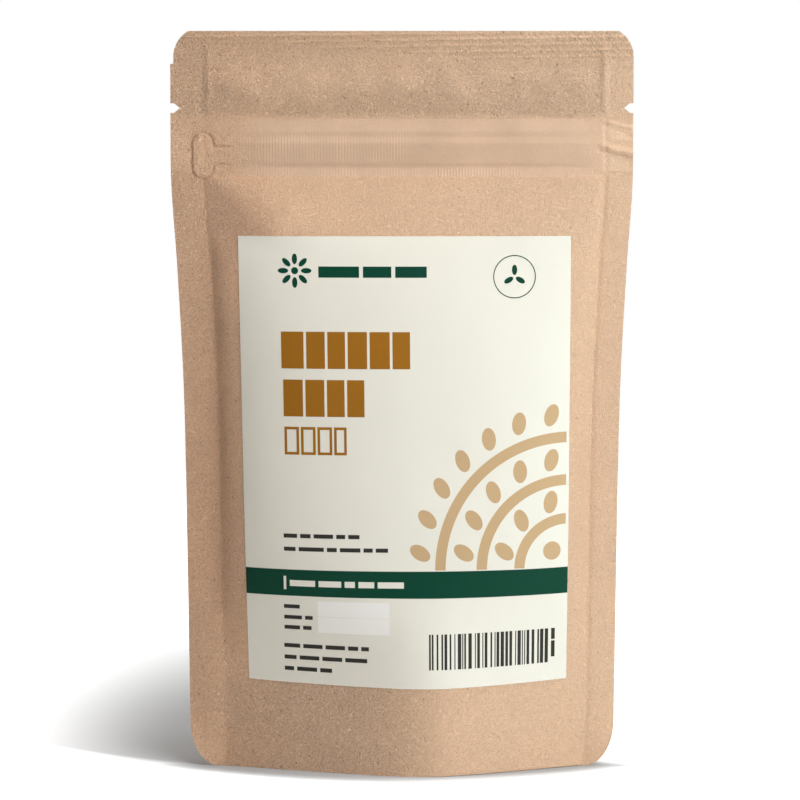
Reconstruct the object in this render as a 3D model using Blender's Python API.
"""A filled stand-up pouch of kraft paper: two panels welded along the sides and the top,
a folded gusset underneath, a press-shut zip under two tear notches, and a label on the front.

Its front faces -Y, it stands on z = 0, and its origin is at the middle of its base.
"""

import math

import bmesh
import bpy

MM = 0.001

# Driving dimensions, in millimetres
HEIGHT = 207.7  # standing height of a pouch 210 mm tall when flat
HALF_WIDTH = 65.0  # half of the flat width, at the zip
FILM = 0.35  # half the thickness of two welded sheets
LEFT_SEAL = 9.2  # width of the weld on each side
RIGHT_SEAL = 7.8
SEAL_SOFTNESS = 1.4  # how gently a panel bends away from its weld

TOP_CORNER_RADIUS = 8.5
TOP_TRIM = 1.15  # cut off above the corner arcs
BASE_CORNER_WIDTH = 8.0
BASE_CORNER_HEIGHT = 12.6

ZIP_TOP = 183.2  # crease over the zip's band
ZIP_BASE = 169.6  # crease under it
NOTCH_HEIGHT = 186.1
NOTCH_DEPTH = 2.7
NOTCH_SHOULDER = 1.1
NOTCH_OPENING = 2.7

RIM = 0.8  # thickness of the skirt that the pouch stands on
SKIRT_HEIGHT = 5.0  # from the rim up to the gusset, at the middle
POCKET_RISE = 9.0  # how much higher the gusset is near the corners
BELLY_REACH = 28.0  # half length of the gusset's flat belly
BELLY_RISE = 10.0  # how far the gusset lifts beyond its belly
POCKET_END = 1.5  # the gusset closes where the rim's half depth falls by this much

LABEL_GAP = 0.3  # between the panel and the label's back
LABEL_THICKNESS = 0.3
LABEL_TOP = 150.4
LABEL_BASE = 25.4
LABEL_SAG = 0.9  # how far the lower edge hangs at its middle
LABEL_HALF_TOP = 46.7
LABEL_HALF_BASE = 44.8
LABEL_SHIFT_TOP = 0.7  # the label sits a little to the right
LABEL_SHIFT_BASE = 1.6
BAND_TOP = 57.5  # printed band across the label's foot
BAND_BASE = 50.0

# Cross sections: height, half width, half depth, and how the depth fades sideways,
# where a small power keeps a section full and a large one pinches its ends
SECTIONS = [
    (0.0, 59.9, 21.0, 1.60),
    (12.0, 60.1, 20.6, 1.35),
    (25.0, 60.3, 19.8, 1.05),
    (50.0, 60.6, 18.2, 0.68),
    (80.0, 61.0, 17.0, 0.60),
    (104.0, 61.5, 15.4, 0.60),
    (121.0, 62.2, 13.4, 0.60),
    (134.0, 62.9, 11.2, 0.60),
    (146.0, 63.6, 8.3, 0.58),
    (155.0, 64.3, 5.2, 0.50),
    (163.0, 64.8, 2.6, 0.35),
    (ZIP_BASE, 65.0, 0.5, 0.15),
    (172.5, 65.0, 1.0, 0.12),
    (177.0, 65.0, 1.2, 0.12),
    (181.0, 65.0, 1.1, 0.12),
    (ZIP_TOP, 65.0, 0.35, 0.15),
    (188.0, 65.0, 0.9, 0.30),
    (194.0, 65.0, 0.8, 0.30),
    (199.0, 65.0, 0.1, 0.50),
    (HEIGHT, 65.0, 0.0, 1.00),
]

# Rows of the panels: from, to, and how many steps between
ROW_BANDS = [
    (BASE_CORNER_HEIGHT, 30.0, 4),
    (30.0, 140.0, 18),
    (140.0, 163.0, 5),
    (163.0, ZIP_BASE, 2),
    (ZIP_BASE, 172.5, 2),
    (172.5, 181.0, 3),
    (181.0, ZIP_TOP, 2),
    (ZIP_TOP, 199.0, 5),
]
CORNER_STEPS = 5
BELLY_COLUMNS = 28

PAPER_COLOUR = (0.64, 0.45, 0.30, 1.0)
LABEL_COLOUR = (0.83, 0.81, 0.71, 1.0)
BAND_COLOUR = (0.006, 0.061, 0.034, 1.0)


def clear_scene():
    for item in list(bpy.data.objects):
        bpy.data.objects.remove(item, do_unlink=True)


def paper_material(name, colour, roughness):
    material = bpy.data.materials.new(name)
    material.use_nodes = True
    shader = material.node_tree.nodes["Principled BSDF"]
    shader.inputs["Base Color"].default_value = colour
    shader.inputs["Roughness"].default_value = roughness
    shader.inputs["Metallic"].default_value = 0.0
    return material


def section(height):
    """Half width, half depth and fading power at a height, on a smooth curve through SECTIONS."""
    last = len(SECTIONS) - 2
    i = min(last, max(0, sum(1 for s in SECTIONS if s[0] <= height) - 1))
    low, high = SECTIONS[i], SECTIONS[i + 1]
    before, after = SECTIONS[max(0, i - 1)], SECTIONS[min(last + 1, i + 2)]
    span = high[0] - low[0]
    t = (height - low[0]) / span
    values = []
    for k in (1, 2, 3):
        slope_low = (high[k] - before[k]) / (high[0] - before[0]) * span
        slope_high = (after[k] - low[k]) / (after[0] - low[0]) * span
        values.append(
            low[k] * (1 + 2 * t) * (1 - t) ** 2
            + slope_low * t * (1 - t) ** 2
            + high[k] * t**2 * (3 - 2 * t)
            - slope_high * t**2 * (1 - t)
        )
    return values


def outer_half(height):
    """Half width out to the cut edge, with the corners rounded."""
    half = section(height)[0]
    arc_start = HEIGHT + TOP_TRIM - TOP_CORNER_RADIUS
    if height > arc_start:
        rise = height - arc_start
        half -= TOP_CORNER_RADIUS - math.sqrt(TOP_CORNER_RADIUS**2 - rise**2)
    if height < BASE_CORNER_HEIGHT:
        share = 1 - height / BASE_CORNER_HEIGHT
        half -= BASE_CORNER_WIDTH * (1 - math.sqrt(1 - share**2))
    return half


def weld_lines(height):
    """Where the two side welds end, left and right."""
    full = section(height)[0]
    inside_corner = outer_half(height) - 1.2
    return -min(full - LEFT_SEAL, inside_corner), min(full - RIGHT_SEAL, inside_corner)


def half_depth(x, height):
    """Distance of a panel's outer face from the plane of the welds."""
    left, right = weld_lines(height)
    half = (right - left) / 2
    u = (x - (left + right) / 2) / half
    if abs(u) >= 1:
        return FILM
    _, depth, power = section(height)
    inside = (1 - abs(u)) * half
    lift = inside**2 / (inside**2 + SEAL_SOFTNESS**2)
    return FILM + max(0.0, depth) * (1 - u * u) ** power * lift


def row_heights():
    """Heights of the panels' rows, close together round the corners and at the zip."""
    rows = []
    for i in range(CORNER_STEPS + 1):
        angle = math.pi / 2 * i / CORNER_STEPS
        rows.append(BASE_CORNER_HEIGHT * (1 - math.cos(angle)))
    for low, high, steps in ROW_BANDS:
        rows += [low + (high - low) * (i + 1) / steps for i in range(steps)]
    full_arc = math.asin((TOP_CORNER_RADIUS - TOP_TRIM) / TOP_CORNER_RADIUS)
    arc_start = HEIGHT + TOP_TRIM - TOP_CORNER_RADIUS
    for i in range(CORNER_STEPS + 1):
        rows.append(arc_start + TOP_CORNER_RADIUS * math.sin(full_arc * i / CORNER_STEPS))
    return rows


def column_x(column, columns, height):
    """Across a panel: the two outer columns lie on the welds, the rest close up towards them."""
    left, right = weld_lines(height)
    if column == 0:
        return -outer_half(height)
    if column == columns:
        return outer_half(height)
    share = 2 * (column - 1) / (columns - 2) - 1
    u = (share + math.sin(math.pi / 2 * share)) / 2
    return (left + right) / 2 + u * (right - left) / 2


def smooth_step(value):
    value = min(1.0, max(0.0, value))
    return value * value * (3 - 2 * value)


def gusset_point(x, step, steps):
    """A point of the underside: rim, skirt, and the gusset with its flat belly."""
    rim_half = half_depth(x, 0.0)
    side = -1 if step < steps / 2 else 1
    from_rim = min(step, steps - step)
    rim = min(RIM, 0.3 * rim_half)
    open_here = smooth_step((rim_half - FILM - 0.4) / POCKET_END)
    skirt = (SKIRT_HEIGHT + POCKET_RISE * (abs(x) / 52.0) ** 1.5) * open_here
    belly = BELLY_RISE * smooth_step((abs(x) - BELLY_REACH) / 18.0) * open_here
    profile = [
        (rim_half, 0.0),
        (rim_half - rim, 0.0),
        (rim_half - 1.6 * rim, skirt),
        (0.68 * (rim_half - rim), 0.45 * (skirt + belly)),
        (0.42 * (rim_half - rim), belly),
        (0.14 * (rim_half - rim), belly),
    ]
    across, height = profile[from_rim]
    return side * across, height


def mesh_object(name, bm, materials):
    bmesh.ops.recalc_face_normals(bm, faces=bm.faces)
    mesh = bpy.data.meshes.new(name)
    bm.to_mesh(mesh)
    bm.free()
    for material in materials:
        mesh.materials.append(material)
    mesh.shade_smooth()
    mesh.set_sharp_from_angle(angle=math.radians(40))
    item = bpy.data.objects.new(name, mesh)
    bpy.context.scene.collection.objects.link(item)
    return item


def sheet_pair(columns, rows):
    """A closed flat box of two gridded sheets. Its corners are whole numbers: column, side, row."""
    bm = bmesh.new()
    bmesh.ops.create_grid(bm, x_segments=columns, y_segments=rows, size=0.5)
    for vert in bm.verts:
        column = round((vert.co.x + 0.5) * columns)
        row = round((vert.co.y + 0.5) * rows)
        vert.co = (column, 0, row)
    made = bmesh.ops.extrude_face_region(bm, geom=bm.faces[:])
    back = [part for part in made["geom"] if isinstance(part, bmesh.types.BMVert)]
    bmesh.ops.translate(bm, verts=back, vec=(0, 1, 0))
    return bm


def make_pouch(paper):
    """Both panels, their welds and the underside, as one closed solid."""
    heights = row_heights()
    columns, rows = BELLY_COLUMNS + 2, len(heights) - 1
    gusset_steps = 11
    bm = sheet_pair(columns, rows)
    across = [
        edge
        for edge in bm.edges
        if all(vert.co.z < 0.5 for vert in edge.verts)
        and abs(edge.verts[0].co.y - edge.verts[1].co.y) > 0.5
    ]
    bmesh.ops.subdivide_edges(bm, edges=across, cuts=gusset_steps - 1, use_grid_fill=True)
    for vert in bm.verts:
        column, row = round(vert.co.x), round(vert.co.z)
        step = round(vert.co.y * gusset_steps)
        height = heights[row]
        x = column_x(column, columns, height)
        if 0 < step < gusset_steps:
            y, height = gusset_point(x, step, gusset_steps)
        else:
            y = half_depth(x, height) * (-1 if step == 0 else 1)
        vert.co = (x * MM, y * MM, height * MM)
    return mesh_object("pouch", bm, [paper])


def notch_cutter(side):
    """A tear notch's prism, with short shoulders and a sharp tip."""
    edge = outer_half(NOTCH_HEIGHT)
    opening = NOTCH_OPENING / 2
    outline = [
        (edge + 2.0, -opening),
        (edge - NOTCH_SHOULDER, -opening * 0.85),
        (edge - NOTCH_DEPTH, 0.0),
        (edge - NOTCH_SHOULDER, opening * 0.85),
        (edge + 2.0, opening),
    ]
    bm = bmesh.new()
    corners = [
        bm.verts.new((side * x * MM, -3.0 * MM, (NOTCH_HEIGHT + z) * MM)) for x, z in outline
    ]
    face = bm.faces.new(corners)
    made = bmesh.ops.extrude_face_region(bm, geom=[face])
    far = [part for part in made["geom"] if isinstance(part, bmesh.types.BMVert)]
    bmesh.ops.translate(bm, verts=far, vec=(0, 6.0 * MM, 0))
    cutter = mesh_object("notch_cutter", bm, [])
    cutter.hide_render = True
    cutter.display_type = "WIRE"
    return cutter


def cut_notches(pouch):
    for side in (-1, 1):
        cut = pouch.modifiers.new("tear notch", "BOOLEAN")
        cut.operation = "DIFFERENCE"
        cut.solver = "EXACT"
        cut.object = notch_cutter(side)


def label_point(across, height, proud):
    """A point of the label, which follows the front panel."""
    share = (LABEL_TOP - height) / (LABEL_TOP - LABEL_BASE)
    half = LABEL_HALF_TOP + (LABEL_HALF_BASE - LABEL_HALF_TOP) * share
    shift = LABEL_SHIFT_TOP + (LABEL_SHIFT_BASE - LABEL_SHIFT_TOP) * share
    x = shift + across * half
    z = height - LABEL_SAG * share * (1 - across**2)
    return x, -(half_depth(x, z) + LABEL_GAP + proud), z


def make_label(paper, band):
    """A thin sheet on the front panel, with a printed band across its foot."""
    heights = [LABEL_BASE + (BAND_BASE - LABEL_BASE) * i / 4 for i in range(4)]
    heights += [BAND_BASE, BAND_TOP]
    heights += [BAND_TOP + (LABEL_TOP - BAND_TOP) * (i + 1) / 15 for i in range(15)]
    columns, rows = 16, len(heights) - 1
    bm = sheet_pair(columns, rows)
    for face in bm.faces:
        middle = face.calc_center_median()
        on_front = middle.y < 0.1
        on_band = heights.index(BAND_BASE) < middle.z < heights.index(BAND_TOP)
        face.material_index = 1 if on_front and on_band else 0
    for vert in bm.verts:
        across = 2 * round(vert.co.x) / columns - 1
        height = heights[round(vert.co.z)]
        proud = LABEL_THICKNESS if vert.co.y < 0.5 else 0.0
        vert.co = [value * MM for value in label_point(across, height, proud)]
    return mesh_object("label", bm, [paper, band])


def main():
    clear_scene()
    kraft = paper_material("kraft paper", PAPER_COLOUR, 0.75)
    coated = paper_material("label paper", LABEL_COLOUR, 0.55)
    band = paper_material("printed band", BAND_COLOUR, 0.55)
    pouch = make_pouch(kraft)
    cut_notches(pouch)
    make_label(coated, band)


main()
